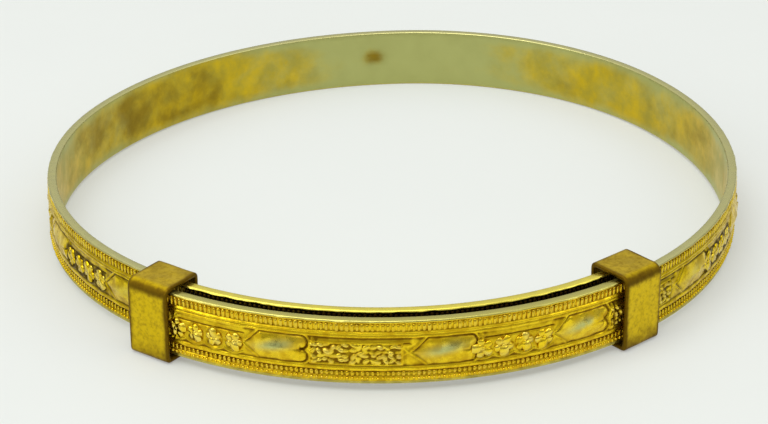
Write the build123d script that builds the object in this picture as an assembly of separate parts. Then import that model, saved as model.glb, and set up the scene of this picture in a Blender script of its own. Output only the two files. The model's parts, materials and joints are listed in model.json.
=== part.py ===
from build123d import *
import math
import os

os.makedirs("parts", exist_ok=True)

# Expanding bangle bracelet. One springy strip is rolled into a ring whose ends overlap across the
# front. A box collar is soldered to each end of the strip and slides along the other layer.
# Millimetres and degrees, +Z up. The front of the bangle faces -Y. An angle on the ring is measured
# round the centre of the front, from -Y towards +X. The origin is the middle of the ring's plan
# outline, on the surface that the two collars stand on.

# ---- driving dimensions: the strip ----
FRONT_RADIUS = 33.0      # centre of the front to the outer layer's rims
STRIP_WIDTH = 5.85       # height of the strip, edge to edge
RIM_THICKNESS = 0.80     # strip thickness at its two plain rims
CROWN = 0.15             # how far the embossed face swells past the rims
EDGE_ROUND = 0.12        # rounding of the strip's four long edges
LAYER_GAP = 0.95         # space between the two layers across the front

# ---- driving dimensions: the ring's plan shape ----
RIGHT_SIDE_RADIUS = 33.2     # mid-thickness radius of the right side
RIGHT_BACK_RADIUS = 28.3     # mid-thickness radius of the right half of the back
FRONT_BEND = 60.0            # where the front arcs meet the sides
SIDE_BEND = 120.0            # where the sides meet the back
BACK_BEND = 180.0            # where the two halves of the back meet
BEND_GAP = 0.15              # cut between two lengths of strip, so that the bend can close up

# ---- driving dimensions: the collars ----
COLLAR_ANGLE = 38.3      # middle of each collar, either side of the front's middle
COLLAR_LENGTH = 4.2      # along the band
COLLAR_WALL = 0.38
COLLAR_ROUND = 0.22      # rounding of the collar's long outer edges
COLLAR_LIP = 0.10        # rounding round the two open ends
EDGE_CLEARANCE = 0.20    # strip edge to the collar's floor and roof
FACE_CLEARANCE = 0.25    # crown of the outer layer to the collar's front wall
BACK_CLEARANCE = 0.20    # inner layer to the collar's back wall
END_PAST_MIDDLE = 1.2    # how far each strip end runs past the middle of its own collar

# ---- driving dimensions: the solder joints ----
SOLDER_LENGTH = 1.6      # along the band
SOLDER_HEIGHT = 3.0

# ---- worked out from the above ----
STRIP_FOOT = COLLAR_WALL + EDGE_CLEARANCE
STRIP_TOP = STRIP_FOOT + STRIP_WIDTH
STRIP_MIDDLE = STRIP_FOOT + STRIP_WIDTH / 2
COLLAR_HEIGHT = STRIP_WIDTH + 2 * (EDGE_CLEARANCE + COLLAR_WALL)
OUTER_LAYER_RADIUS = FRONT_RADIUS - RIM_THICKNESS / 2
INNER_LAYER_RADIUS = OUTER_LAYER_RADIUS - RIM_THICKNESS - LAYER_GAP
INNER_FACE_RADIUS = INNER_LAYER_RADIUS - RIM_THICKNESS / 2
FRONT_WALL_INSIDE = FRONT_RADIUS + CROWN + FACE_CLEARANCE
# The collar is straight and the strip is curved, so the strip comes nearest the back wall at the ends.
BACK_WALL_INSIDE = math.sqrt(INNER_FACE_RADIUS**2 - (COLLAR_LENGTH / 2) ** 2) - BACK_CLEARANCE
STRIP_END_ANGLE = COLLAR_ANGLE + math.degrees(END_PAST_MIDDLE / FRONT_RADIUS)
CENTRE = Vector(0, 0, 0)


def outward(angle):
    """Unit vector pointing out of the ring at an angle from the front."""
    turn = math.radians(angle)
    return Vector(math.sin(turn), -math.cos(turn), 0)


def radial_plane(centre, angle):
    """Upright plane through an arc's centre: local x points out of the ring and local y is up."""
    out = outward(angle)
    return Plane(origin=centre, x_dir=out, z_dir=out.cross(Vector(0, 0, 1)))


def strip_section(radius):
    """Cross-section of the strip: plain back, rounded edges, swelling embossed face."""
    back = radius - RIM_THICKNESS / 2
    face = radius + RIM_THICKNESS / 2
    lines = [
        Line((face, STRIP_FOOT), (back, STRIP_FOOT)),
        Line((back, STRIP_FOOT), (back, STRIP_TOP)),
        Line((back, STRIP_TOP), (face, STRIP_TOP)),
        ThreePointArc((face, STRIP_TOP), (face + CROWN, STRIP_MIDDLE), (face, STRIP_FOOT)),
    ]
    section = make_face(lines)
    return fillet(section.vertices(), EDGE_ROUND)


def strip_length(centre, radius, start, end, cut_start=True, cut_end=True):
    """One length of strip along an arc, short of each bend by half the bend's gap."""
    half_gap = math.degrees(BEND_GAP / 2 / radius)
    first = start + half_gap * cut_start
    last = end - half_gap * cut_end
    section = radial_plane(centre, first) * strip_section(radius)
    return revolve(section, axis=Axis(centre, (0, 0, 1)), revolution_arc=last - first)


def left_radii(back_bend_point):
    """Radii of the left half, chosen so that the strip runs back into the inner layer, tangent to it."""
    back = outward(BACK_BEND)
    side = outward(-SIDE_BEND)
    front = outward(-FRONT_BEND)
    goal = front * INNER_LAYER_RADIUS - back_bend_point
    side_step = front - side
    back_step = side - back
    across = side_step.X * back_step.Y - side_step.Y * back_step.X
    side_radius = (goal.X * back_step.Y - goal.Y * back_step.X) / across
    back_radius = (side_step.X * goal.Y - side_step.Y * goal.X) / across
    return side_radius, back_radius


def in_collar(angle, inside, outside, length, foot, height):
    """Box lying along the band at an angle, between two distances from the centre of the front."""
    middle = outward(angle) * ((inside + outside) / 2)
    place = Plane(origin=middle + Vector(0, 0, foot), x_dir=outward(angle), z_dir=(0, 0, 1))
    block = Box(outside - inside, length, height, align=(Align.CENTER, Align.CENTER, Align.MIN))
    return place * block


def collar(angle):
    """Plain box collar, open at both ends, wrapped round the two layers."""
    body = in_collar(
        angle,
        BACK_WALL_INSIDE - COLLAR_WALL,
        FRONT_WALL_INSIDE + COLLAR_WALL,
        COLLAR_LENGTH,
        0,
        COLLAR_HEIGHT,
    )
    along = outward(angle + 90)
    body = fillet(body.edges().filter_by(Axis(CENTRE, along)), COLLAR_ROUND)
    tunnel = in_collar(
        angle,
        BACK_WALL_INSIDE,
        FRONT_WALL_INSIDE,
        COLLAR_LENGTH + 2 * COLLAR_WALL,
        COLLAR_WALL,
        COLLAR_HEIGHT - 2 * COLLAR_WALL,
    )
    body -= tunnel
    ends = body.faces().filter_by(Axis(CENTRE, along))
    return fillet(ends.edges(), COLLAR_LIP)


def solder(angle, inside, outside, strip):
    """Solder that fills the space between a collar wall and the strip it holds."""
    block = in_collar(angle, inside, outside, SOLDER_LENGTH, STRIP_MIDDLE - SOLDER_HEIGHT / 2, SOLDER_HEIGHT)
    return block - strip


# ---- bend points, and the centre of each arc, going round from the front's right end ----
right_front_bend = outward(FRONT_BEND) * OUTER_LAYER_RADIUS
right_side_centre = right_front_bend - outward(FRONT_BEND) * RIGHT_SIDE_RADIUS
right_side_bend = right_side_centre + outward(SIDE_BEND) * RIGHT_SIDE_RADIUS
right_back_centre = right_side_bend - outward(SIDE_BEND) * RIGHT_BACK_RADIUS
back_bend = right_back_centre + outward(BACK_BEND) * RIGHT_BACK_RADIUS
left_side_radius, left_back_radius = left_radii(back_bend)
left_back_centre = back_bend - outward(BACK_BEND) * left_back_radius
left_side_bend = left_back_centre + outward(-SIDE_BEND) * left_back_radius
left_side_centre = left_side_bend - outward(-SIDE_BEND) * left_side_radius
left_front_bend = left_side_centre + outward(-FRONT_BEND) * left_side_radius

# ---- the strip, from the outer layer's end in the left collar, round the back, to the inner layer ----
parts = {}
parts["strip_outer_front"] = strip_length(
    CENTRE, OUTER_LAYER_RADIUS, -STRIP_END_ANGLE, FRONT_BEND, cut_start=False
)
parts["strip_right_side"] = strip_length(right_side_centre, RIGHT_SIDE_RADIUS, FRONT_BEND, SIDE_BEND)
parts["strip_right_back"] = strip_length(right_back_centre, RIGHT_BACK_RADIUS, SIDE_BEND, BACK_BEND)
parts["strip_left_back"] = strip_length(
    left_back_centre, left_back_radius, BACK_BEND, 2 * BACK_BEND - SIDE_BEND
)
parts["strip_left_side"] = strip_length(left_side_centre, left_side_radius, -SIDE_BEND, -FRONT_BEND)
parts["strip_inner_front"] = strip_length(
    CENTRE, INNER_LAYER_RADIUS, -FRONT_BEND, STRIP_END_ANGLE, cut_end=False
)

# ---- the collars, and the solder that fixes each to one layer ----
parts["collar_left"] = collar(-COLLAR_ANGLE)
parts["collar_right"] = collar(COLLAR_ANGLE)
parts["solder_left"] = solder(
    -COLLAR_ANGLE, OUTER_LAYER_RADIUS, FRONT_WALL_INSIDE, parts["strip_outer_front"]
)
parts["solder_right"] = solder(
    COLLAR_ANGLE, BACK_WALL_INSIDE, INNER_LAYER_RADIUS, parts["strip_inner_front"]
)

# ---- move the origin to the middle of the ring's plan outline, and write the pieces ----
outline = Compound(children=[part.solid() for part in parts.values()]).bounding_box()
shift = Vector(-outline.center().X, -outline.center().Y, 0)
for name, part in parts.items():
    export_step(Pos(shift) * part.solid(), f"parts/{name}.step")

bends = {
    "right_front": right_front_bend,
    "right_side": right_side_bend,
    "back": back_bend,
    "left_side": left_side_bend,
    "left_front": left_front_bend,
}
for name, point in bends.items():
    print("bend", name, [round(value, 3) for value in (point + shift)])
print("centre of the front", [round(value, 3) for value in shift])
print("left radii", round(left_side_radius, 3), round(left_back_radius, 3))
print("size", [round(value, 3) for value in outline.size])
for angle in (-COLLAR_ANGLE, COLLAR_ANGLE):
    middle = outward(angle) * ((BACK_WALL_INSIDE + FRONT_WALL_INSIDE) / 2) + shift
    print("collar middle", [round(value, 3) for value in middle])
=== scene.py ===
import bpy
import json
import math
import numpy as np
from mathutils import Matrix, Vector


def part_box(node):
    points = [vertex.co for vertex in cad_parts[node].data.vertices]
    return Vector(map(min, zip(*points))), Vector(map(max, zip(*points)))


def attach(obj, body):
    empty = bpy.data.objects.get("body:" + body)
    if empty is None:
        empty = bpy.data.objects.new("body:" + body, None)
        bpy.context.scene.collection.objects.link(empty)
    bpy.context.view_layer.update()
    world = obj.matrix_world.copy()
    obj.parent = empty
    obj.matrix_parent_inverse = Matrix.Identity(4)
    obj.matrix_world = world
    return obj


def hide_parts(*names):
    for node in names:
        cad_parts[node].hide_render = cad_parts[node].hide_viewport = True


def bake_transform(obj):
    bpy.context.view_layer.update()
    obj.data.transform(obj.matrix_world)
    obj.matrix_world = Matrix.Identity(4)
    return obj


# Expanding bangle bracelet: an embossed gilt strip, its milgrain edges and flowers, and two box
# collars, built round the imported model. Metres, +Z up, the front of the bangle faces -Y.

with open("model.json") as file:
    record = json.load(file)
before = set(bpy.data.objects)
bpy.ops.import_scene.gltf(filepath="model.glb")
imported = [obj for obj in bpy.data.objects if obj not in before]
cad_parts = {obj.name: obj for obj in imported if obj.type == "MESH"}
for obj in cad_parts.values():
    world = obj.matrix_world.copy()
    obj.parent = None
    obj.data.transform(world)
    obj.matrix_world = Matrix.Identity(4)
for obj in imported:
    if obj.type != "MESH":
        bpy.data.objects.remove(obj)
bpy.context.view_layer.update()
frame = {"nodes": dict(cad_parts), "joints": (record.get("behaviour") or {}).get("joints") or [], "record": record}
MM = 0.001

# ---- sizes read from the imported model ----
joint_at = {joint["name"]: Vector(joint["pos_m"]) for joint in frame["joints"]}
wrist = next(mount for mount in frame["record"]["mounts"] if mount["name"] == "wrist")
CENTRE = Vector((*wrist["pos_m"][:2], 0))
STRIP_FOOT, STRIP_TOP = [corner.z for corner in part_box("strip_right_side")]
STRIP_WIDTH = STRIP_TOP - STRIP_FOOT
STRIP_MIDDLE = (STRIP_FOOT + STRIP_TOP) / 2
COLLAR_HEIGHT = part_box("collar_left")[1].z

# ---- the strip's thickness and the collars, as in the solid model ----
RIM_THICKNESS = 0.80 * MM
STRIP_END_ANGLE = 40.4
COLLAR_ANGLE = 38.3
COLLAR_LENGTH = 4.2 * MM
COLLAR_WALL = 0.38 * MM
COLLAR_INSIDE = (29.80 * MM, 33.40 * MM)    # back and front walls' inner faces, from the front's centre

# ---- embossing, in mm ----
# Pairs of (height up the strip, relief) from the lower plain rim to the upper one, in mm.
BORDER_LINES = [
    (0.00, -0.04), (0.28, -0.05), (0.36, -0.02), (0.62, -0.02), (0.70, -0.13), (1.14, -0.13),
    (1.24, 0.02), (1.42, 0.06), (1.56, 0.02), (1.66, -0.06), (4.20, -0.06), (4.30, 0.04), (4.42, 0.09),
    (4.53, -0.01), (4.65, 0.09), (4.78, 0.01), (4.86, -0.07), (5.58, -0.07), (5.66, 0.03), (5.85, 0.00),
]
FIELD_MIDDLE = 2.95
FIELD_HALF = 1.30
FIELD_CROWN = 0.10

# Rows of small raised work: name, size, its middle's height up the strip, sharpness of its edges.
GRAIN_ROWS = [
    ("Teeth", (0.33, 0.16, 0.76), 5.22, 0.93),
    ("Pegs", (0.28, 0.14, 0.46), 0.94, 0.50),
    ("Beads", (0.36, 0.42, 0.34), 0.50, 0.0),
]
ROW_PITCH = 0.42 * MM
WORK_OFFSET = RIM_THICKNESS / 2 - 0.02 * MM     # small work sits on the face, sunk by a hair

# Two leaves make one repeat: the first is followed by a framed panel, the second by flowers.
FIRST_LEAF = -12.9       # tip of a leaf, from the front's middle, in mm along the strip
FRAMED_RUN = 13.9        # from that tip to the next one
FLOWERS_RUN = 12.2       # from there to the tip after it
REPEAT = FRAMED_RUN + FLOWERS_RUN
LEAF_LENGTH = 5.3
LEAF_HALF = 1.26
LEAF_RISE = 0.30
FRAME_START = 5.5        # the framed panel's left end, from its leaf's tip
FRAME_LENGTH = 7.5
PANEL_MIDDLE = 2.76      # panels lie under a ledge, so their middle is lower than the leaf's
PANEL_HALF = 0.98
LEDGE_UP = (3.78, 4.22)
FLOWER_COUNT = 4
FLOWER_PITCH = 1.80
FLOWER_BEFORE_TIP = 1.05
FLOWER_RADIUS = 0.88
PETAL_SIZE = (0.90, 0.72, 0.34)          # as shares of the flower's radius
PETAL_CREASE = 0.45
FOLIAGE_ROWS = 4
FOLIAGE_COLUMNS = 14
FOLIAGE_ROW_PITCH = 0.46

# How the plain back has worn: (mm along the strip, bare pale metal, brown stain), each 0 to 1.
BACK_WEAR = [
    (-25, 0.35, 0.3), (40, 0.38, 0.3), (57, 0.42, 0.4), (66, 0.36, 0.4), (72, 0.20, 0.3),
    (77, 0.00, 0.2), (82, 0.40, 0.3), (87, 0.66, 0.3), (92, 1.10, 0.2), (106, 1.10, 0.1),
    (113, 0.25, 0.3), (118, -0.10, 0.6), (124, -0.10, 0.9), (137, 0.00, 0.7), (146, 0.18, 0.4),
    (160, 0.33, 0.3), (220, 0.33, 0.3),
]
SPOT = (101.6, 3.2, 1.4, 1.0)            # a tarnish spot: mm along, mm up, half length, half height

# Where painted shade darkens the inner layer, in the gap behind the outer one.
NEVER_OUT_FROM = -19.0       # degrees: nothing further right than this slides out at the left collar
DARK_EDGE_FROM = -37.0       # degrees: from here to there it slides out, and only its upper edge is dark
DARK_EDGE_UP = 3.9           # mm: the foot of that dark edge

# ---- rounding and fineness of the band's mesh; lengths across it are in mm ----
STEP_ALONG = 0.085 * MM
STEP_ACROSS = 0.070
EDGE_ROUND = 0.12
EDGE_STEPS = 4
BACK_STEPS = 12
HOLLOW_REACH = 4         # steps over which the relief is averaged, to find its recesses
HOLLOW_DEPTH = 0.055     # depth below that average at which the stain is full
LINE_STEP = 0.5 * MM     # between points of the line that the small work's rows follow
BEND_REACH = 10          # degrees to each side of a bend over which the strip turns

# ---- rounding and fineness of the collars ----
CORNER_ROUND = 0.42 * MM         # the folded sheet's corners
FRONT_TOP_ROUND = 0.85 * MM      # its upper front corner is rounder
LIP_ROUND = 0.16 * MM            # the two open ends
DENT_DEPTH = 0.035 * MM
CORNER_STEPS = 8
COLLAR_STEPS = 12                # from a collar's middle to its lip
COLLAR_AROUND = 160

# ---- colours ----
GOLD = (0.95, 0.68, 0.018)
GOLD_DEEP = (0.72, 0.47, 0.010)
TEETH_GOLD = (0.84, 0.58, 0.022)
GOLD_BROWN = (0.17, 0.080, 0.004)
DULL_GOLD = (0.78, 0.56, 0.008)
DULL_DEEP = (0.54, 0.36, 0.006)
DARK_BROWN = (0.075, 0.045, 0.004)
POLISHED_GOLD = (0.93, 0.80, 0.12)
PALE_GOLD = (0.92, 0.78, 0.20)
# Pale bare metal of the worn top rim; also the painted floor reflection on the lower rim.
PALE_METAL_AND_REFLECTION = (0.53, 0.50, 0.14)
PALE_SIDE = (0.58, 0.57, 0.25)
GREY_METAL = (0.56, 0.56, 0.19)
BACK_METAL = (0.47, 0.48, 0.17)
BACK_GOLD = (0.68, 0.48, 0.016)
BACK_OLIVE = (0.44, 0.36, 0.045)
BACK_BROWN = (0.28, 0.180, 0.010)
COLLAR_GOLD = (0.71, 0.50, 0.007)
COLLAR_DEEP = (0.48, 0.32, 0.005)
# Brown of the collars' painted shade and painted dark reflections.
COLLAR_SHADE_BROWN = (0.12, 0.062, 0.004)
# Painted shade: the inner layer where it lies in the dark gap behind the outer one.
PAINTED_GAP_SHADE = (0.028, 0.013, 0.002)
SOLDER_DARK = (0.16, 0.14, 0.10)
SOLDER_PALE = (0.42, 0.40, 0.33)
FLOOR_WHITES = ((0.44, 0.465, 0.44), (0.455, 0.48, 0.455))
FLOOR_GLOW = (1.0, 1.0, 0.97)


# ==== the strip's path ====

def outward(angle):
    """Unit vector out of the ring, at an angle in degrees from the front towards the right."""
    turn = math.radians(angle)
    return Vector((math.sin(turn), -math.cos(turn), 0))


def arc_between(start_point, end_point, start, end):
    """Centre and radius of the arc that leaves one bend and meets the next, square to both."""
    chord = (end_point - start_point).to_2d().length
    radius = chord / (2 * math.sin(math.radians(end - start) / 2))
    return start_point - outward(start) * radius, radius


BENDS = [("bend_right_front", 60), ("bend_right_side", 120), ("bend_back", 180),
         ("bend_left_side", 240), ("expand", 300)]


def ring_arcs():
    """The strip's six arcs in order, each as (centre, radius, first angle, last angle)."""
    points = [Vector((joint_at[name].x, joint_at[name].y, 0)) for name, angle in BENDS]
    angles = [angle for name, angle in BENDS]
    arcs = [(CENTRE, (points[0] - CENTRE).length, -STRIP_END_ANGLE, angles[0])]
    for index, (start, end) in enumerate(zip(angles, angles[1:])):
        arcs.append((*arc_between(points[index], points[index + 1], start, end), start, end))
    arcs.append((CENTRE, (points[-1] - CENTRE).length, angles[-1], 360 + STRIP_END_ANGLE))
    return arcs


ARCS = ring_arcs()
FRONT_RADIUS = ARCS[0][1]
COLLAR_PLACE = FRONT_RADIUS * math.radians(COLLAR_ANGLE)      # along the strip, from the front's middle


def path_length(angle):
    """Distance along the strip's middle, from the front to an angle, in metres."""
    total = 0.0
    for centre, radius, first, last in ARCS:
        reach = min(max(angle, first), last)
        total += radius * math.radians(reach - first)
    return total - FRONT_RADIUS * math.radians(STRIP_END_ANGLE)


def path_points(lengths):
    """Places and outward directions on the strip's middle, at distances along it."""
    lengths = np.asarray(lengths, float)
    places = np.zeros((len(lengths), 2))
    outs = np.zeros((len(lengths), 2))
    start = path_length(-STRIP_END_ANGLE)
    for index, (centre, radius, first, last) in enumerate(ARCS):
        run = radius * math.radians(last - first)
        on_arc = lengths >= start - 1e-9 if index else np.ones(len(lengths), bool)
        turn = math.radians(first) + (lengths[on_arc] - start) / radius
        out = np.column_stack([np.sin(turn), -np.cos(turn)])
        outs[on_arc] = out
        places[on_arc] = np.array(centre.to_2d()) + radius * out
        start += run
    return places, outs


# ==== the embossed relief ====

def bell(value, width):
    """Smooth bump, 1 at zero and near nothing past the width."""
    return np.exp(-((value / width) ** 2))


def share(value):
    """The value kept between 0 and 1."""
    return np.clip(value, 0, 1)


def dome(reach):
    """Rounded boss: 1 at its middle, with a clear edge where the reach comes to 1."""
    return np.sqrt(share(1 - reach ** 2))


def leaf(along, across):
    """Leaf on its side with a ridge down its middle: pointed at the left, two round lobes at the
    right, a raised line round it. Gives its relief, where its upper half is worn, and its stain."""
    side = np.abs(across)
    from_tip = (along - side) / math.sqrt(2.0)
    from_edge = LEAF_HALF - side
    lobe = LEAF_HALF / 2
    lobe_start = LEAF_LENGTH - lobe
    from_lobe = lobe - np.hypot(along - lobe_start, side - lobe)
    inside = np.minimum(from_tip, from_edge)
    inside = np.where(along > lobe_start, np.minimum(inside, from_lobe), inside)
    rise = LEAF_RISE * (share(inside / LEAF_HALF) ** 0.75)
    notch = -0.14 * bell(across, 0.10) * bell(along - LEAF_LENGTH + 0.5, 0.75)
    rounder = 1 / (1 + np.exp(-(along - lobe_start + 0.4) / 0.2))
    upper = share(0.5 + across / 0.3)
    groove = 0.12 * rounder + 0.05 * upper
    ridge = 0.11 * np.maximum(0.35 + 0.65 * upper, rounder)
    outline = ridge * bell(inside + 0.15, 0.09) - groove * bell(inside, 0.07)
    fan = 0.5 + 0.5 * np.cos(9 * np.arctan2(across, along - lobe_start))
    scallop = 0.20 * bell(inside + 0.46, 0.13) * fan * (along > lobe_start + 0.2)
    worn = 1.1 * bell(along - 2.6, 1.5) * bell(across - 0.22 - 0.20 * (along - 2.6), 0.42)
    shaded = rounder * bell(inside - 0.04, 0.10) + 1.2 * bell(across, 0.08) * bell(along - lobe_start, 0.6)
    rise = rise + (inside > 0) * notch + outline + scallop
    return rise, worn * (inside > 0), share(0.8 * shaded)


def foliage_leaves():
    """Small crowded leaves in a framed panel, each as (along, across, length, width, turn, rise)."""
    rng = np.random.default_rng(17)
    leaves = []
    for row in range(FOLIAGE_ROWS):
        for column in range(FOLIAGE_COLUMNS):
            along = (column + 0.5 + rng.uniform(-0.3, 0.3)) * FRAME_LENGTH / FOLIAGE_COLUMNS
            across = (row - (FOLIAGE_ROWS - 1) / 2 + rng.uniform(-0.3, 0.3)) * FOLIAGE_ROW_PITCH
            turn = rng.uniform(-1.3, 1.3)
            leaves.append((along, across, rng.uniform(0.24, 0.46), rng.uniform(0.16, 0.24), turn,
                           rng.uniform(0.08, 0.24)))
    return leaves


def framed_panel(along, across):
    """Crowded small leaves inside a raised frame. Gives relief, wear and stain."""
    half_long = FRAME_LENGTH / 2
    from_frame = np.maximum(np.abs(along - half_long) - half_long, np.abs(across) - PANEL_HALF)
    inside = share(-from_frame / 0.12)
    grown_leaves = np.zeros_like(across)
    for place, height, length, width, turn, rise in foliage_leaves():
        run = (along - place) * math.cos(turn) + (across - height) * math.sin(turn)
        rest = (across - height) * math.cos(turn) - (along - place) * math.sin(turn)
        grown_leaves = np.maximum(grown_leaves, rise * dome(np.hypot(run / length, rest / width)))
    frame_line = 0.12 * bell(from_frame, 0.08)
    rise = frame_line + inside * (grown_leaves - 0.06)
    return rise, inside * share(grown_leaves / 0.14 - 0.4), inside * (grown_leaves < 0.02)


def flower_ground(from_next_tip, across):
    """Stained hollow round each flower, and the garland that hangs under them."""
    place = -from_next_tip - FLOWER_BEFORE_TIP + FLOWER_PITCH / 2
    number = np.floor(place / FLOWER_PITCH)
    on_flowers = (number >= 0) & (number < FLOWER_COUNT)
    offset = place - (number + 0.5) * FLOWER_PITCH
    reach = np.hypot(offset, across)
    hollow = share((FLOWER_RADIUS + 0.10 - reach) / 0.14)
    sag = -PANEL_HALF - 0.08 + 0.35 * (2 * offset / FLOWER_PITCH) ** 2
    garland = 0.12 * bell(across - sag, 0.09) * (reach > FLOWER_RADIUS)
    ring = 0.07 * bell(reach - FLOWER_RADIUS - 0.02, 0.07)
    stain = share((FLOWER_RADIUS + 0.50 - reach) / 0.40)
    return on_flowers * (garland + ring - 0.08 * hollow), on_flowers * stain


def arrow_lines(from_tip, across):
    """Two raised lines that cross behind a leaf's tip."""
    falling = bell(across + 0.80 * (from_tip + 0.35), 0.09)
    rising = bell(across - 0.60 * (from_tip + 0.9) + 0.3, 0.09)
    return 0.10 * bell(from_tip - 0.1, 0.9) * np.maximum(falling, 0.6 * rising)


def unevenness(lengths, heights):
    """Faint waviness of thin stamped metal, as a smooth sum of waves."""
    rng = np.random.default_rng(29)
    total = np.zeros((len(lengths), len(heights)))
    for wave in range(12):
        length = rng.uniform(0.7, 2.6)
        turn = rng.uniform(0, math.pi)
        phase = rng.uniform(0, 2 * math.pi)
        run = lengths[:, None] / MM * math.cos(turn) + heights[None, :] * math.sin(turn)
        total += length * np.sin(run * 2 * math.pi / length + phase)
    return 0.004 * total


def dullness(lengths):
    """How much duller and darker the gold is coloured: none at the front between the collars, full at the sides.
    """
    past_collar = (np.abs(lengths) - COLLAR_PLACE) / MM
    return share(0.5 + past_collar / 2)


def relief(lengths, heights):
    """Over a grid along and up the strip: relief in mm, bare metal, rubbed gold and stain."""
    along = np.mod(lengths[:, None] / MM - FIRST_LEAF, REPEAT) + 0 * heights[None, :]
    flowered = along > FRAMED_RUN
    along = np.where(flowered, along - FRAMED_RUN, along)
    to_next = along - np.where(flowered, FLOWERS_RUN, FRAMED_RUN)
    up = heights[None, :] + 0 * along
    across = up - FIELD_MIDDLE
    panel_across = up - PANEL_MIDDLE
    in_field = share((FIELD_HALF + 0.06 - np.abs(across)) / 0.10)
    crown = FIELD_CROWN * share(1 - (across / FIELD_HALF) ** 2)
    leaf_rise, worn, shaded = leaf(along, across)
    panel_rise, panel_worn, panel_stain = framed_panel(along - FRAME_START, panel_across)
    ground_rise, ground_stain = flower_ground(to_next, panel_across)
    ledge_low, ledge_high = LEDGE_UP
    on_panel = share((along - FRAME_START + 0.2) / 0.2) * share(-to_next / 0.3)
    in_ledge = share((up - ledge_low) / 0.08) * on_panel * (up < ledge_high + 0.1)
    ledge_line = -0.12 * bell(up - ledge_low + 0.05, 0.07) * on_panel
    rise = np.interp(up, *np.array(BORDER_LINES).T) + unevenness(lengths, heights)
    ornament = crown + leaf_rise + arrow_lines(along, across) + arrow_lines(to_next, across) + ledge_line
    ornament += np.where(flowered, ground_rise + 0.06 * in_ledge, panel_rise - 0.06 * in_ledge)
    rubbed = np.where(flowered, 0, panel_worn)
    stain = np.where(flowered, 0.30 * ground_stain + 0.15 * in_ledge, 0.45 * panel_stain + 0.5 * in_ledge)
    stain += dullness(lengths)[:, None] * np.where(flowered, ground_stain, 0.3 * panel_stain)
    stain = share(np.maximum(stain, shaded))
    return rise + in_field * ornament, in_field * worn, in_field * rubbed, in_field * stain


def flower_places():
    """Middles of the separate flowers: distances along the strip, in mm."""
    strip_ends = (path_length(-STRIP_END_ANGLE), path_length(360 + STRIP_END_ANGLE))
    first, last = [math.floor((end / MM - FIRST_LEAF) / REPEAT) for end in strip_ends]
    places = []
    for number in range(first + 1, last + 2):
        for flower in range(FLOWER_COUNT):
            places.append(FIRST_LEAF + number * REPEAT - FLOWER_BEFORE_TIP - flower * FLOWER_PITCH)
    return places


# ==== helpers for meshes and objects ====

def add_object(name, data):
    """New object in the scene, at the origin."""
    made = bpy.data.objects.new(name, data)
    bpy.context.scene.collection.objects.link(made)
    return made


def new_piece(name, mesh, materials):
    """Object at the origin that holds a mesh and its materials."""
    for material in materials:
        mesh.materials.append(material)
    return add_object(name, mesh)


def set_values(mesh, name, values, kind="FLOAT", field="value"):
    """Stores one value for each point, for the nodes to read."""
    layer = mesh.attributes.new(name, kind, "POINT")
    layer.data.foreach_set(field, np.asarray(values, np.float32).ravel())


def shade_smooth(mesh):
    """Shades every face smoothly."""
    mesh.polygons.foreach_set("use_smooth", np.ones(len(mesh.polygons), bool))


def local_average(grid, reach):
    """Each value's mean over its neighbourhood, for finding recesses."""
    smooth = grid
    for axis in (0, 1):
        total = np.zeros_like(smooth)
        for shift in range(-reach, reach + 1):
            total += np.roll(smooth, shift, axis)
        smooth = total / (2 * reach + 1)
    return smooth


def quarter_round(middle_out, middle_up, radius, start, steps):
    """Points (distance out, height) round a quarter of a circle, from an angle in degrees."""
    points = []
    for step in range(steps + 1):
        turn = math.radians(start + 90 * step / steps)
        points.append((middle_out + radius * math.cos(turn), middle_up + radius * math.sin(turn)))
    return points


# ==== the embossed band ====

def band_section():
    """Points round the strip's section after the embossed face: (offset out, height up), in mm."""
    side = RIM_THICKNESS / MM / 2 - EDGE_ROUND
    top = STRIP_WIDTH / MM - EDGE_ROUND
    points = quarter_round(side, top, EDGE_ROUND, 0, EDGE_STEPS)
    points += quarter_round(-side, top, EDGE_ROUND, 90, EDGE_STEPS)
    for step in range(1, BACK_STEPS):
        points.append((-side - EDGE_ROUND, top - step * (top - EDGE_ROUND) / BACK_STEPS))
    points += quarter_round(-side, EDGE_ROUND, EDGE_ROUND, 180, EDGE_STEPS)
    points += quarter_round(side, EDGE_ROUND, EDGE_ROUND, 270, EDGE_STEPS)
    return points[1:-1]


def set_gap_shade(mesh, gap_shaded):
    """Marks where painted shade darkens the inner layer, in the gap behind the outer one: all of what
    never slides out, and the upper edge of what does."""
    spots = np.empty(3 * len(mesh.vertices))
    mesh.vertices.foreach_get("co", spots)
    spots = spots.reshape(-1, 3)
    angles = np.degrees(np.arctan2(spots[:, 0] - CENTRE.x, CENTRE.y - spots[:, 1]))
    heights = (spots[:, 2] - STRIP_FOOT) / MM
    never_out = share((angles - NEVER_OUT_FROM) / 5)
    out_of_collar = share((angles - DARK_EDGE_FROM) / 3)
    upper_edge = 0.97 * share((heights - DARK_EDGE_UP) / 0.5) * out_of_collar
    set_values(mesh, "gap_shaded", gap_shaded * np.maximum(never_out, upper_edge))


def back_wear(lengths, heights):
    """Bare metal and brown stain on the strip's back, over places along and up the strip."""
    places, bare, stain = np.array(BACK_WEAR).T
    along = lengths[:, None] / MM
    middle_along, middle_up, half_along, half_up = SPOT
    spot = bell(along - middle_along, half_along) * bell(heights[None, :] - middle_up, half_up)
    to_edge = np.minimum(heights, STRIP_WIDTH / MM - heights)[None, :]
    edges = 0.6 * bell(to_edge, 0.7)
    bare = np.interp(along, places, bare) + edges - 1.2 * spot
    return bare, np.interp(along, places, stain) * (1 - edges) + 1.3 * spot


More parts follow.
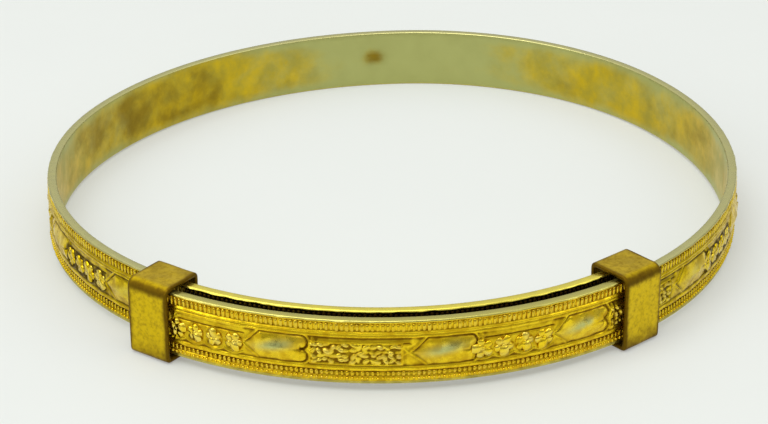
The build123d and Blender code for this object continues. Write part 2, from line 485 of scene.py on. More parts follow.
def mark_caps_sharp(mesh, around, count):
    """Keeps the two cut ends flat, so that the band's shading runs on to the next length."""
    pairs = np.zeros(len(mesh.edges) * 2, np.int64)
    mesh.edges.foreach_get("vertices", pairs)
    pairs = pairs.reshape(-1, 2)
    at_start = (pairs < around).all(axis=1)
    at_end = (pairs >= count * around).all(axis=1)
    sharp = mesh.attributes.new("sharp_edge", "BOOLEAN", "EDGE")
    sharp.data.foreach_set("value", at_start | at_end)


def band_length(name, first, last, materials, gap_shaded):
    """One closed length of the embossed strip between two angles. A gap-shaded one lies behind the
    outer layer: its face is darkened with painted shade, and its top rim has kept its gold."""
    start, end = path_length(first), path_length(last)
    count = max(2, round((end - start) / STEP_ALONG))
    lengths = np.linspace(start, end, count + 1)
    places, outs = path_points(lengths)
    face_steps = round((STRIP_WIDTH / MM - 2 * EDGE_ROUND) / STEP_ACROSS)
    ups = np.linspace(EDGE_ROUND, STRIP_WIDTH / MM - EDGE_ROUND, face_steps + 1)
    rise, wear, rub, stain = relief(lengths, ups)
    section = np.array(band_section())
    rest_of_section = np.tile(section[:, 0], (count + 1, 1))
    offsets = np.concatenate([RIM_THICKNESS / MM / 2 + rise, rest_of_section], axis=1)
    heights = np.concatenate([ups, section[:, 1]])
    around = len(heights)
    spots = np.zeros((count + 1, around, 3))
    for axis in (0, 1):
        spots[:, :, axis] = places[:, axis, None] + offsets * MM * outs[:, axis, None]
    spots[:, :, 2] = STRIP_FOOT + heights * MM
    column = np.arange(count)[:, None] * around
    here = np.arange(around)[None, :]
    after = (here + 1) % around
    quads = np.stack([column + here, column + around + here, column + around + after, column + after], -1)
    faces = [tuple(quad) for quad in quads.reshape(-1, 4).tolist()]
    faces.append(tuple(range(around)))
    faces.append(tuple(reversed(range(count * around, (count + 1) * around))))
    mesh = bpy.data.meshes.new(name)
    mesh.from_pydata(spots.reshape(-1, 3).tolist(), [], faces)
    mesh.validate()
    face_count = len(ups)
    hollow = share((local_average(rise, HOLLOW_REACH) - rise) / HOLLOW_DEPTH)
    for mark, amount in (("recess", np.maximum(hollow, stain)), ("worn", wear), ("rubbed", rub)):
        values = np.zeros((count + 1, around))
        values[:, :face_count] = amount
        set_values(mesh, mark, values)
    set_values(mesh, "up_strip", np.tile(heights / (STRIP_WIDTH / MM), (count + 1, 1)))
    bare, stained = back_wear(lengths, heights)
    set_values(mesh, "bare", bare)
    set_values(mesh, "stained", stained)
    set_gap_shade(mesh, gap_shaded)
    set_values(mesh, "dull", np.repeat(dullness(lengths), around))
    slots = np.zeros((count, around), np.int32)
    back_first = face_count + 2 * EDGE_STEPS - 1
    slots[:, back_first:back_first + BACK_STEPS + 1] = 1
    piece = new_piece(name, mesh, materials)
    mesh.polygons.foreach_set("material_index", np.append(slots.ravel(), np.zeros(2, np.int32)))
    shade_smooth(mesh)
    mark_caps_sharp(mesh, around, count)
    return piece


# ==== node helpers ====

def fill(tree, node, values):
    """Sets a node's inputs by name or number. A socket or a node is linked, anything else is set."""
    for key, value in values.items():
        socket = node.inputs[key]
        if isinstance(value, bpy.types.Node):
            value = value.outputs[0]
        if isinstance(value, bpy.types.NodeSocket):
            tree.links.new(value, socket)
        elif socket.type == "RGBA":
            socket.default_value = (*value, 1)
        else:
            socket.default_value = value


def add_node(tree, kind, inputs=(), **settings):
    """New node with its settings and its inputs."""
    node = tree.nodes.new(kind)
    for key, value in settings.items():
        setattr(node, key, value)
    fill(tree, node, dict(inputs))
    return node


def new_tree(kind, name, inputs, output, output_type):
    """Node tree with named inputs, each of its default value's type, and one output."""
    tree = bpy.data.node_groups.new(name, kind + "NodeTree")
    types = {int: "Int", float: "Float", tuple: "Color" if kind == "Shader" else "Vector"}
    if kind == "Geometry":
        tree.interface.new_socket("Geometry", in_out="INPUT", socket_type="NodeSocketGeometry")
        tree.interface.new_socket("Material", in_out="INPUT", socket_type="NodeSocketMaterial")
    for label, value in inputs.items():
        input_type = types[type(value)]
        socket = tree.interface.new_socket(label, in_out="INPUT", socket_type="NodeSocket" + input_type)
        socket.default_value = (*value, 1) if input_type == "Color" else value
    tree.interface.new_socket(output, in_out="OUTPUT", socket_type="NodeSocket" + output_type)
    return tree, tree.nodes.new("NodeGroupInput").outputs, tree.nodes.new("NodeGroupOutput")


# ==== geometry nodes: milgrain and flowers ====

def rounded_block(tree, crease):
    """Block one unit across with softened edges, for small raised work."""
    block = add_node(tree, "GeometryNodeMeshCube")
    rounding = {"Mesh": block, "Level": 1, "Edge Crease": crease}
    softened = add_node(tree, "GeometryNodeSubdivisionSurface", rounding)
    return add_node(tree, "GeometryNodeSetShadeSmooth", {"Geometry": softened})


def random_value(tree, given, low, high):
    """Number that differs from copy to copy, from the tree's own seed."""
    bounds = {2: low, 3: high, "Seed": given["Seed"]}
    return add_node(tree, "FunctionNodeRandomValue", bounds, data_type="FLOAT").outputs[1]


def scaled(tree, size, factor):
    """A size in three directions times a factor."""
    return add_node(tree, "ShaderNodeVectorMath", {"Vector": size, "Scale": factor}, operation="SCALE")


def aligned(tree, direction, axis, pivot):
    """Turn that brings an axis round to a direction."""
    along = {"Vector": direction}
    return add_node(tree, "FunctionNodeAlignRotationToVector", along, axis=axis, pivot_axis=pivot)


def copies(tree, points, shape, turn, size):
    """One copy of a shape at each point, turned and sized."""
    inputs = {"Points": points, "Instance": shape, "Rotation": turn, "Scale": size}
    return add_node(tree, "GeometryNodeInstanceOnPoints", inputs)


def finish_tree(tree, made, given, end):
    """Makes the copies real faces with their material, and gives the tree back."""
    real = add_node(tree, "GeometryNodeRealizeInstances", {"Geometry": made})
    painted = add_node(tree, "GeometryNodeSetMaterial", {"Geometry": real, "Material": given["Material"]})
    fill(tree, end, {"Geometry": painted})
    return tree


def milgrain_tree():
    """Rows along the band's face line: square teeth above, short pegs and round beads below."""
    inputs = {"Count": 100, "Seed": 3}
    for row, size, up, crease in GRAIN_ROWS:
        inputs[row + " Size"] = tuple(Vector(size) * MM)
        inputs[row + " Lift"] = up * MM
    tree, given, end = new_tree("Geometry", "milgrain rows", inputs, "Geometry", "Geometry")
    line = add_node(tree, "GeometryNodeMeshToCurve", {"Mesh": given["Geometry"]})
    spaced = add_node(tree, "GeometryNodeResampleCurve", {"Curve": line, "Count": given["Count"]})
    turn = aligned(tree, add_node(tree, "GeometryNodeInputTangent"), "X", "Z")
    vary = random_value(tree, given, 0.85, 1.10)
    join = add_node(tree, "GeometryNodeJoinGeometry")
    for row, size, up, crease in GRAIN_ROWS:
        lift = add_node(tree, "ShaderNodeCombineXYZ", {"Z": given[row + " Lift"]})
        raised = add_node(tree, "GeometryNodeSetPosition", {"Geometry": spaced, "Offset": lift})
        size = scaled(tree, given[row + " Size"], vary)
        fill(tree, join, {"Geometry": copies(tree, raised, rounded_block(tree, crease), turn, size)})
    return finish_tree(tree, join, given, end)


def flower_tree():
    """Uneven petals round a boss at each point, turned to face out of the band."""
    inputs = {"Petals": 5, "Petal Size": PETAL_SIZE, "Petal Reach": 0.54, "Boss Size": 0.46, "Seed": 5}
    tree, given, end = new_tree("Geometry", "flowers on the band", inputs, "Geometry", "Geometry")
    sizes = {"Vertices": given["Petals"], "Radius": given["Petal Reach"]}
    ring = add_node(tree, "GeometryNodeMeshCircle", sizes)
    aim = aligned(tree, add_node(tree, "GeometryNodeInputPosition"), "X", "Z")
    petal = rounded_block(tree, PETAL_CREASE)
    petal_size = scaled(tree, given["Petal Size"], random_value(tree, given, 0.55, 1.40))
    boss_size = add_node(tree, "ShaderNodeCombineXYZ", {axis: given["Boss Size"] for axis in "XYZ"})
    boss = add_node(tree, "GeometryNodeTransform", {"Geometry": petal, "Scale": boss_size})
    flower = add_node(tree, "GeometryNodeJoinGeometry")
    for part in (copies(tree, ring, petal, aim, petal_size), boss):
        fill(tree, flower, {"Geometry": part})
    facing, size = [
        add_node(tree, "GeometryNodeInputNamedAttribute", {"Name": name}, data_type="FLOAT_VECTOR")
        for name in ("facing", "size_m")
    ]
    flowers = copies(tree, given["Geometry"], flower, aligned(tree, facing, "Z", "AUTO"), size)
    spin = add_node(tree, "ShaderNodeCombineXYZ", {"Z": random_value(tree, given, 0.0, 2 * math.pi)})
    spun = add_node(tree, "GeometryNodeRotateInstances", {"Instances": flowers, "Rotation": spin})
    return finish_tree(tree, spun, given, end)


def grown(name, seed, tree, settings, first, last, gap_shaded):
    """Runs a tree on a seed mesh and keeps the result as a plain mesh, marked with how much painted
    gap shade it gets and how dull its length of the band is."""
    seed_object = add_object(name + "_seed", seed)
    modifier = seed_object.modifiers.new("grow", "NODES")
    modifier.node_group = tree
    names = {item.name: item.identifier for item in tree.interface.items_tree if item.in_out == "INPUT"}
    for label, value in settings.items():
        modifier[names[label]] = value
    graph = bpy.context.evaluated_depsgraph_get()
    mesh = bpy.data.meshes.new_from_object(seed_object.evaluated_get(graph), depsgraph=graph)
    mesh.name = name
    bpy.data.objects.remove(seed_object)
    set_gap_shade(mesh, gap_shaded)
    middle = (path_length(first) + path_length(last)) / 2
    dull = 0.0 if abs(middle) < COLLAR_PLACE or gap_shaded else 1.0
    set_values(mesh, "dull", np.full(len(mesh.vertices), dull))
    return add_object(name, mesh)


def seed_mesh(name, lengths, up, edges):
    """Points on the band's face, at distances along it and a height, for small work to grow from."""
    places, outs = path_points(lengths)
    mesh = bpy.data.meshes.new(name)
    mesh.from_pydata([(x, y, up) for x, y in (places + outs * WORK_OFFSET).tolist()], edges, [])
    return mesh, outs


def milgrain_length(name, first, last, gap_shaded):
    """Teeth, pegs and beads for one length of the band. Their rows start half a pitch inside it."""
    inset = math.degrees(ROW_PITCH / 2 / FRONT_RADIUS)
    start, end = path_length(first + inset), path_length(last - inset)
    steps = max(2, round((end - start) / LINE_STEP))
    edges = [(step, step + 1) for step in range(steps)]
    line = seed_mesh("face line", np.linspace(start, end, steps + 1), STRIP_FOOT, edges)[0]
    count = round((path_length(last) - path_length(first)) / ROW_PITCH)
    return grown(name, line, milgrain_nodes, {"Count": count, "Material": grains}, first, last, gap_shaded)


def flowers_on(name, first, last, gap_shaded):
    """The separate flowers that lie on one length of the band."""
    start, end = path_length(first), path_length(last)
    chosen = [place * MM for place in flower_places() if start <= place * MM < end]
    if not chosen:
        return None
    rng = np.random.default_rng(round(first) + 100)
    middles, outs = seed_mesh("flower middles", chosen, STRIP_FOOT + PANEL_MIDDLE * MM, [])
    facing = np.column_stack([outs, np.zeros(len(outs))])
    size = np.repeat(FLOWER_RADIUS * MM * rng.uniform(0.88, 1.06, len(chosen)), 3)
    set_values(middles, "facing", facing, "FLOAT_VECTOR", "vector")
    set_values(middles, "size_m", size, "FLOAT_VECTOR", "vector")
    return grown(name, middles, flower_nodes, {"Material": petals}, first, last, gap_shaded)


# ==== the collars ====

def collar_outline(low, high, foot, top, corner, front_top):
    """Evenly spaced points round an upright box's section: (reach from the centre, height)."""
    points = []
    for radius, middle_out, middle_up, start in (
        (front_top, high - front_top, top - front_top, 0),
        (corner, low + corner, top - corner, 90),
        (corner, low + corner, foot + corner, 180),
        (corner, high - corner, foot + corner, 270),
    ):
        points += quarter_round(middle_out, middle_up, radius, start, CORNER_STEPS)
    loop = np.array(points + points[:1])
    run = np.concatenate([[0], np.cumsum(np.hypot(*np.diff(loop, axis=0).T))])
    wanted = np.linspace(0, run[-1], COLLAR_AROUND, endpoint=False)
    return np.column_stack([np.interp(wanted, run, loop[:, 0]), np.interp(wanted, run, loop[:, 1])])


def collar_rows(outer, inner):
    """Loops along the collar's wall and back inside it: (outline, shift, 0 outside to 1 inside)."""
    reach = COLLAR_LENGTH / 2 - LIP_ROUND
    rows = []
    for end, outline, inside in ((1, outer, 0.0), (-1, inner, 1.0)):
        for step in range(-COLLAR_STEPS, COLLAR_STEPS + 1):
            rows.append((outline, end * step / COLLAR_STEPS * reach, inside))
        for step in range(1, CORNER_STEPS):
            turn = math.pi * step / CORNER_STEPS
            across = (1 - end * math.cos(turn)) / 2
            shift = end * (reach + LIP_ROUND * math.sin(turn))
            rows.append((outer + (inner - outer) * across, shift, across))
    return rows


def collar_painted_shade(reach, height, shift):
    """Painted shade at a point of a collar: painted dark reflections on its lips and corners, painted
    shade over its top and below its front's upper edge, and darker towards its foot."""
    from_back = reach - COLLAR_INSIDE[0] + COLLAR_WALL
    from_front = reach - COLLAR_INSIDE[1] - COLLAR_WALL
    from_top = height - COLLAR_HEIGHT
    to_end = COLLAR_LENGTH / 2 - abs(shift)
    to_corner = max(min(abs(height), abs(from_top)), min(abs(from_front), abs(from_back)))
    from_shade = math.hypot(from_front + 0.15 * MM, from_top + 0.45 * MM)
    on_top = 0.40 * (from_top > -0.2 * MM)
    return max(
        1.5 * math.exp(-to_end / (0.30 * MM)),
        math.exp(-to_corner / (0.60 * MM)),
        math.exp(-(from_shade / (0.62 * MM)) ** 2),
        on_top + math.exp(-height / (1.2 * MM)),
    )


def dents(spots, seed):
    """Small uneven swellings of hand-worked sheet, as a smooth sum of waves."""
    waves = 8
    rng = np.random.default_rng(seed)
    total = np.zeros(len(spots))
    for wave in range(waves):
        direction = rng.normal(size=3)
        direction /= np.linalg.norm(direction)
        phase = rng.uniform(0, 2 * math.pi)
        total += np.sin(spots @ direction * 2 * math.pi / (rng.uniform(1.5, 4.0) * MM) + phase)
    return total / waves


def collar(name, angle, seed, materials):
    """Box collar of folded sheet: rounded corners, softly dented walls and rounded open ends."""
    low, high = COLLAR_INSIDE
    wall = COLLAR_WALL
    outer = collar_outline(low - wall, high + wall, 0, COLLAR_HEIGHT, CORNER_ROUND, FRONT_TOP_ROUND)
    inner = collar_outline(
        low, high, wall, COLLAR_HEIGHT - wall, CORNER_ROUND - 0.7 * wall, FRONT_TOP_ROUND - wall
    )
    rows = collar_rows(outer, inner)
    out = np.array(outward(angle))
    side = np.array(outward(angle + 90))
    origin = np.array(CENTRE)
    spots = []
    painted_shade = []
    for outline, shift, inside in rows:
        for reach, height in outline:
            spots.append(origin + out * reach + side * shift + np.array([0, 0, height]))
            painted_shade.append(collar_painted_shade(reach, height, shift))
    spots = np.array(spots)
    centre = origin + out * (low + high) / 2 + np.array([0, 0, COLLAR_HEIGHT / 2])
    away = spots - centre
    away -= np.outer(away @ side, side)
    away /= np.linalg.norm(away, axis=1)[:, None]
    outside = np.repeat([1.0 - inside for outline, shift, inside in rows], COLLAR_AROUND)
    spots -= away * (np.abs(dents(spots, seed)) * outside * DENT_DEPTH)[:, None]
    faces = []
    for row in range(len(rows)):
        here = row * COLLAR_AROUND
        following = (row + 1) % len(rows) * COLLAR_AROUND
        for point in range(COLLAR_AROUND):
            beside = (point + 1) % COLLAR_AROUND
            faces.append((here + point, here + beside, following + beside, following + point))
    mesh = bpy.data.meshes.new(name)
    mesh.from_pydata(spots.tolist(), [], faces)
    set_values(mesh, "edge", painted_shade)
    piece = new_piece(name, mesh, materials)
    shade_smooth(mesh)
    mesh.update()
    return piece


# ==== shader nodes ====

def mix(tree, factor, first, second):
    """Mix of two colours, each a socket or a plain colour."""
    return add_node(tree, "ShaderNodeMix", {0: factor, 6: first, 7: second}, data_type="RGBA").outputs[2]


def attribute(tree, name):
    """One of the numbers stored on the mesh."""
    return add_node(tree, "ShaderNodeAttribute", attribute_name=name).outputs["Fac"]


def maths(tree, operation, *values, clamp=False):
    """Sum on sockets or numbers."""
    node = add_node(tree, "ShaderNodeMath", enumerate(values), operation=operation, use_clamp=clamp)
    return node.outputs[0]


def times(tree, first, second, clamp=False):
    """Product of sockets or numbers."""
    return maths(tree, "MULTIPLY", first, second, clamp=clamp)


def step_up(tree, value, low, high, foot=0.0, top=1.0):
    """The foot value below the low value and the top one above the high one, smooth between."""
    inputs = {"Value": value, "From Min": low, "From Max": high, "To Min": foot, "To Max": top}
    return add_node(tree, "ShaderNodeMapRange", inputs, interpolation_type="SMOOTHSTEP").outputs[0]


def placed(tree, group, **values):
    """Puts a node group in a material; each value is a socket, a number or a colour."""
    node = add_node(tree, "ShaderNodeGroup", node_tree=group)
    fill(tree, node, {key.replace("_", " "): value for key, value in values.items()})
    return node.outputs[0]


def noise(tree, scale, detail, **inputs):
    """Noise fixed in the piece."""
    place = tree.nodes.new("ShaderNodeTexCoord").outputs["Object"]
    inputs = {"Vector": place, "Scale": scale, "Detail": detail, **inputs}
    return add_node(tree, "ShaderNodeTexNoise", inputs)


def clouds_group():
    """Cloudy mask, fixed in the piece: 0 below Low and 1 above High."""
    inputs = {"Scale": 500.0, "Detail": 6.0, "Distortion": 0.0, "Low": 0.4, "High": 0.6}
    tree, given, end = new_tree("Shader", "clouds", inputs, "Mask", "Float")
    cloud = noise(tree, given["Scale"], given["Detail"], Roughness=0.6, Distortion=given["Distortion"])
    fill(tree, end, {"Mask": step_up(tree, cloud, given["Low"], given["High"])})
    return tree


def aged_group():
    """Gold of two depths that a brown stain covers."""
    inputs = {"Clean": GOLD, "Deep": GOLD_DEEP, "Brown": GOLD_BROWN, "Mottle": 0.5, "Stain": 0.0}
    tree, given, end = new_tree("Shader", "aged gold", inputs, "Color", "Color")
    gold = mix(tree, given["Mottle"], given["Deep"], given["Clean"])
    fill(tree, end, {"Color": mix(tree, given["Stain"], gold, given["Brown"])})
    return tree


def sheen_group():
    """Roughness that runs from polished to dull with the mottling, and is dull under stains."""
    inputs = {"Polished": 0.25, "Dull": 0.45, "Mottle": 0.5, "Stain": 0.0}
    tree, given, end = new_tree("Shader", "sheen", inputs, "Roughness", "Float")
    span = maths(tree, "SUBTRACT", given["Polished"], given["Dull"])
    varied = maths(tree, "MULTIPLY_ADD", given["Mottle"], span, given["Dull"])
    fill(tree, end, {"Roughness": maths(tree, "ADD", varied, times(tree, given["Stain"], 0.20), clamp=True)})
    return tree


def grain_group():
    """Fine pitted grain of old plated sheet, with faint broader waves under it."""
    inputs = {"Scale": 4000.0, "Depth": 0.3, "Wave Scale": 700.0, "Wave Depth": 0.2}
    tree, given, end = new_tree("Shader", "worn grain", inputs, "Normal", "Vector")
    under = {}
    for scale, depth, reach in (("Wave Scale", "Wave Depth", 0.06), ("Scale", "Depth", 0.03)):
        height = noise(tree, given[scale], 4.0)
        shape = {"Distance": reach * MM, "Strength": given[depth], "Height": height}
        under = {"Normal": add_node(tree, "ShaderNodeBump", {**shape, **under})}
    fill(tree, end, under)
    return tree


# ==== materials ====

def new_material(name, **values):
    """Material with its shader. Whatever is the same all over is set on the shader itself."""
    material = bpy.data.materials.new(name)
    material.use_nodes = True
    tree = material.node_tree
    fill(tree, tree.nodes["Principled BSDF"], values)
    return material, tree


def finish_metal(material, colour, mottle, stain, polish, **grain_values):
    """Gives a metal its colour, its sheen between two roughnesses, and its grain."""
    tree = material.node_tree
    polished, dull = polish
    rough = placed(tree, sheen, Polished=polished, Dull=dull, Mottle=mottle, Stain=stain)
    normal = placed(tree, grain, **grain_values)
    fill(tree, tree.nodes["Principled BSDF"], {"Base Color": colour, "Roughness": rough, "Normal": normal})
    return material


def embossed_gilt():
    """Gold plate, browned in the recesses, rubbed through to pale metal on the leaves and top rim, with a
    painted pale floor reflection on the lower rim, and painted shade in the gap behind the outer layer.
    """
    material, tree = new_material("embossed_gilt", Metallic=1.0)
    mottle = placed(tree, clouds, Scale=1100.0, Detail=7.0, Low=0.36, High=0.60)
    patches = placed(tree, clouds, Scale=420.0, Distortion=0.2, Low=0.28, High=0.52)
    marks = ("recess", "worn", "rubbed", "gap_shaded", "dull", "up_strip")
    recess, worn, rubbed, gap_shaded, dull, up = [attribute(tree, mark) for mark in marks]
    recess = times(tree, recess, 0.92, clamp=True)
    clean = mix(tree, dull, GOLD, DULL_GOLD)
    brown = mix(tree, dull, GOLD_BROWN, DARK_BROWN)
    deep = mix(tree, dull, GOLD_DEEP, DULL_DEEP)
    face = placed(tree, aged, Clean=clean, Deep=deep, Brown=brown, Mottle=mottle, Stain=recess)
    spared = maths(tree, "SUBTRACT", 1.0, times(tree, dull, 0.7))
    worn = times(tree, times(tree, worn, patches, clamp=True), spared)
    face = mix(tree, worn, mix(tree, times(tree, rubbed, 0.45), face, PALE_GOLD), GREY_METAL)
    # Painted shade where the inner layer lies in the gap behind the outer one.
    face = mix(tree, times(tree, gap_shaded, 0.96), face, PAINTED_GAP_SHADE)
    top_rim = times(tree, step_up(tree, up, 0.972, 0.984), 0.92)
    # Painted reflection of the pale floor on the lower rim.
    foot_reflection = times(tree, step_up(tree, up, 0.055, 0.025), 0.7)
    rim = mix(tree, gap_shaded, mix(tree, dull, PALE_METAL_AND_REFLECTION, PALE_SIDE), POLISHED_GOLD)
    colour = mix(tree, top_rim, mix(tree, foot_reflection, face, PALE_METAL_AND_REFLECTION), rim)
    return finish_metal(material, colour, mottle, recess, (0.22, 0.42), Depth=0.30, Wave_Depth=0.35)


def smooth_gilt():
    """The strip's plain back: gold at the sides, stained brown, and worn to pale metal at the middle."""
    material, tree = new_material("smooth_gilt_back", Metallic=1.0)
    broad = placed(tree, clouds, Scale=150.0, Distortion=0.2, Low=0.15, High=0.85)
    blots = placed(tree, clouds, Scale=210.0, Detail=7.0, Distortion=0.2, Low=0.25, High=0.75)
    mottle = placed(tree, clouds, Scale=500.0, Detail=8.0, Low=0.25, High=0.75)
    stain = maths(tree, "ADD", attribute(tree, "stained"), maths(tree, "SUBTRACT", blots, 0.5))
    stain = times(tree, step_up(tree, stain, 0.25, 1.45), 0.90)
    bare = maths(tree, "ADD", attribute(tree, "bare"), maths(tree, "SUBTRACT", broad, 0.5))
    gold = placed(
        tree, aged, Clean=BACK_GOLD, Deep=BACK_OLIVE, Brown=BACK_BROWN, Mottle=mottle, Stain=stain
    )
    colour = mix(tree, step_up(tree, bare, 0.0, 1.0), gold, BACK_METAL)
    return finish_metal(material, colour, mottle, stain, (0.30, 0.46), Depth=0.20, Wave_Depth=0.20)


def small_work_gilt(name, fresh_gold, rubbed_amount):
    """Teeth, beads or petals: gold rubbed pale here and there, with painted shade in the gap."""
    material, tree = new_material(name, Metallic=1.0)
    mottle = placed(tree, clouds, Scale=1400.0, Low=0.28, High=0.54)
    rubbed = placed(tree, clouds, Scale=500.0, Distortion=0.5, Low=0.42, High=0.66)
    rubbed = times(tree, rubbed, rubbed_amount)
    dull = attribute(tree, "dull")
    clean = mix(tree, dull, fresh_gold, DULL_GOLD)
    deep = mix(tree, dull, GOLD_DEEP, DULL_DEEP)
    gold = placed(tree, aged, Clean=clean, Deep=deep, Brown=PALE_GOLD, Mottle=mottle, Stain=rubbed)
    # Painted shade where the work lies in the gap behind the outer layer.
    dark = times(tree, attribute(tree, "gap_shaded"), 0.995)
    colour = mix(tree, dark, gold, PAINTED_GAP_SHADE)
    return finish_metal(material, colour, mottle, dark, (0.20, 0.38), Depth=0.25, Wave_Depth=0.20)


def collar_gilt():
    """Smooth brass-gold collar, speckled, with brown painted shade and painted dark reflections along
    its edges and over its top, darker towards its foot.
    """
    material, tree = new_material("collar_gilt", Metallic=1.0)
    speckle = placed(tree, clouds, Scale=2800.0, Detail=6.0, Low=0.28, High=0.60)
    broad = placed(tree, clouds, Scale=450.0, Distortion=0.3, Low=0.10, High=0.90)
    # Brown painted shade on the collar's edges, corners and top, darker towards its foot, made uneven by broad
    # clouds.
    unsure = times(tree, maths(tree, "SUBTRACT", broad, 0.5), 0.6)
    edge = maths(tree, "ADD", attribute(tree, "edge"), unsure)
    painted_shade = times(tree, step_up(tree, edge, 0.15, 1.00), 0.92)
    colour = placed(
        tree, aged, Clean=COLLAR_GOLD, Deep=COLLAR_DEEP, Brown=COLLAR_SHADE_BROWN, Mottle=speckle, Stain=painted_shade
    )
    return finish_metal(material, colour, speckle, painted_shade, (0.30, 0.46), Depth=0.30, Wave_Depth=0.30)


def solder_grey():
    """Dull, lumpy solder."""
    material, tree = new_material("solder_grey", Metallic=0.9)
    lumps = placed(tree, clouds, Scale=2500.0, Low=0.30, High=0.70)
    colour = mix(tree, lumps, SOLDER_DARK, SOLDER_PALE)
    return finish_metal(material, colour, lumps, 0.0, (0.45, 0.65), Scale=2500.0, Depth=0.6)


def floor_white():
    """Matt white card with the faintest unevenness, glowing a little so that shadows stay soft."""
    glow = {"Emission Color": FLOOR_GLOW, "Emission Strength": 0.29}
    material, tree = new_material("floor_white", Metallic=0.0, Roughness=0.9, **glow)
    haze = placed(tree, clouds, Scale=12.0, Low=0.30, High=0.70)
    fill(tree, tree.nodes["Principled BSDF"], {"Base Color": mix(tree, haze, *FLOOR_WHITES)})
    return material


# ==== build the object ====

clouds = clouds_group()
aged = aged_group()
sheen = sheen_group()
grain = grain_group()
embossed = embossed_gilt()
plain_back = smooth_gilt()
grains = small_work_gilt("milgrain_gilt", TEETH_GOLD, 0.15)
petals = small_work_gilt("petal_gilt", GOLD, 0.60)
collar_finish = collar_gilt()
solder_finish = solder_grey()
milgrain_nodes = milgrain_tree()
flower_nodes = flower_tree()

# Each length of band: name, first and last angle, the bodies it follows, the node it stands for.
# Lengths meet halfway between two bends, or in the middle of a collar.
LENGTHS = [
    ("outer_front", -STRIP_END_ANGLE, COLLAR_ANGLE, ["outer_front"], "strip_outer_front"),
    ("right_front", COLLAR_ANGLE, 90, ["outer_front", "right_side"], "strip_right_side"),
    ("right_side", 90, 150, ["right_side", "right_back"], "strip_right_back"),
    ("back", 150, 210, ["right_back", "left_back"], "strip_left_back"),
    ("left_side", 210, 270, ["left_back", "left_side"], "strip_left_side"),
    ("left_front", 270, 360 - COLLAR_ANGLE, ["left_side", "inner_front"], "strip_left_side"),
    ("inner_front", 360 - COLLAR_ANGLE, 360 + STRIP_END_ANGLE, ["inner_front"], "strip_inner_front"),
]


def band_point(angle):
    """Point at mid height on the strip's middle."""
    places, outs = path_points([path_length(angle)])
    return (places[0][0], places[0][1], STRIP_MIDDLE)


def follow(piece, bodies, first, last):
    """A piece of the strip rides on one body; one that spans two bodies is left in place with its transform baked.
    """
    if len(bodies) == 1:
        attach(piece, bodies[0])
        return
    bend = next(angle for name, angle in BENDS if first < angle < last)
    start, end = band_point(bend - BEND_REACH), band_point(bend + BEND_REACH)
    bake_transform(piece)


for name, first, last, bodies, node in LENGTHS:
    gap_shaded = name == "inner_front"
    band = band_length("band_" + name, first, last, [embossed, plain_back], gap_shaded)
    follow(band, bodies, first, last)
    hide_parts(node)
    follow(milgrain_length("milgrain_" + name, first, last, gap_shaded), bodies, first, last)
    flowers = flowers_on("flowers_" + name, first, last, gap_shaded)
    if flowers:
        follow(flowers, bodies, first, last)

for name, angle, seed, body in (
    ("left", -COLLAR_ANGLE, 11, "outer_front"),
    ("right", COLLAR_ANGLE, 23, "inner_front"),
):
    box_collar = collar("box_collar_" + name, angle, seed, [collar_finish])
    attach(box_collar, body)
    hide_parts("collar_" + name)
    solder = frame["nodes"]["solder_" + name]
    solder.data.materials.clear()
    solder.data.materials.append(solder_finish)


# ==== floor, light and camera ====

FLOOR_HALF = 3.0
CAMERA_FROM_CENTRE = Vector((-9.34, -201.5, 98.1)) * MM
CAMERA_TURNS = (25.86, 2.72, -0.20)     # degrees: down, to the right, and rolled
CAMERA_LENS = 110.67


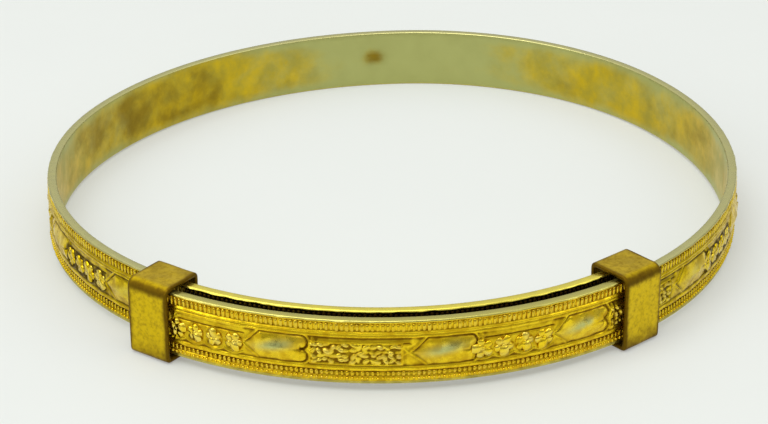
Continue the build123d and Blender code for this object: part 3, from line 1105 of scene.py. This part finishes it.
def floor_plane():
    """Large floor that both collars and the back of the strip touch: the ring leans by a hair."""
    collar_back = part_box("collar_left")[1].y
    band_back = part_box("strip_left_back")[1].y
    slope = STRIP_FOOT / (band_back - collar_back)
    mesh = bpy.data.meshes.new("floor")
    corners = []
    for x, y in ((-1, -1), (1, -1), (1, 1), (-1, 1)):
        corners.append((x * FLOOR_HALF, y * FLOOR_HALF, (y * FLOOR_HALF - collar_back) * slope))
    mesh.from_pydata(corners, [], [(0, 1, 2, 3)])
    return new_piece("floor", mesh, [floor_white()])


def soft_light(name, place, size, power):
    """Square soft box aimed at the origin."""
    data = bpy.data.lights.new(name, "AREA")
    data.size = size
    data.energy = power
    light = add_object(name, data)
    light.location = place
    light.rotation_euler = (-Vector(place)).to_track_quat("-Z", "Y").to_euler()


def studio_light():
    """White room: brightest overhead and a little behind the bangle, dim low down in front of it."""
    world = bpy.data.worlds.new("studio")
    world.use_nodes = True
    tree = world.node_tree
    sky = tree.nodes.new("ShaderNodeTexCoord").outputs["Generated"]
    aim = add_node(tree, "ShaderNodeVectorMath", {0: sky, 1: (0, 0.10, 0.995)}, operation="DOT_PRODUCT")
    strength = step_up(tree, aim.outputs["Value"], -0.25, 0.95, 0.14, 0.90)
    fill(tree, tree.nodes["Background"], {"Color": (1, 1, 1), "Strength": strength})
    bpy.context.scene.world = world


def make_camera():
    """Camera above and in front of the bangle, looking down at it."""
    data = bpy.data.cameras.new("camera")
    data.lens = CAMERA_LENS
    data.sensor_width = 36
    data.clip_start = 0.01
    data.clip_end = 20
    camera = add_object("camera", data)
    pitch, yaw, roll = (math.radians(turn) for turn in CAMERA_TURNS)
    ahead = Vector((math.sin(yaw) * math.cos(pitch), math.cos(yaw) * math.cos(pitch), -math.sin(pitch)))
    right = Vector((math.cos(yaw), -math.sin(yaw), 0))
    above = right.cross(ahead)
    turned_right = right * math.cos(roll) + above * math.sin(roll)
    turned_up = above * math.cos(roll) - right * math.sin(roll)
    turn = Matrix((turned_right, turned_up, -ahead)).transposed()
    camera.matrix_world = Matrix.Translation(CENTRE + CAMERA_FROM_CENTRE) @ turn.to_4x4()
    bpy.context.scene.camera = camera


floor_plane()
soft_light("soft_box_above", (-0.12, -0.10, 0.55), 0.50, 1.6)
soft_light("soft_box_left", (-0.50, -0.25, 0.30), 0.30, 0.5)
soft_light("soft_box_right", (0.50, -0.20, 0.35), 0.30, 0.3)
studio_light()
bpy.context.scene.view_settings.view_transform = "Standard"
make_camera()
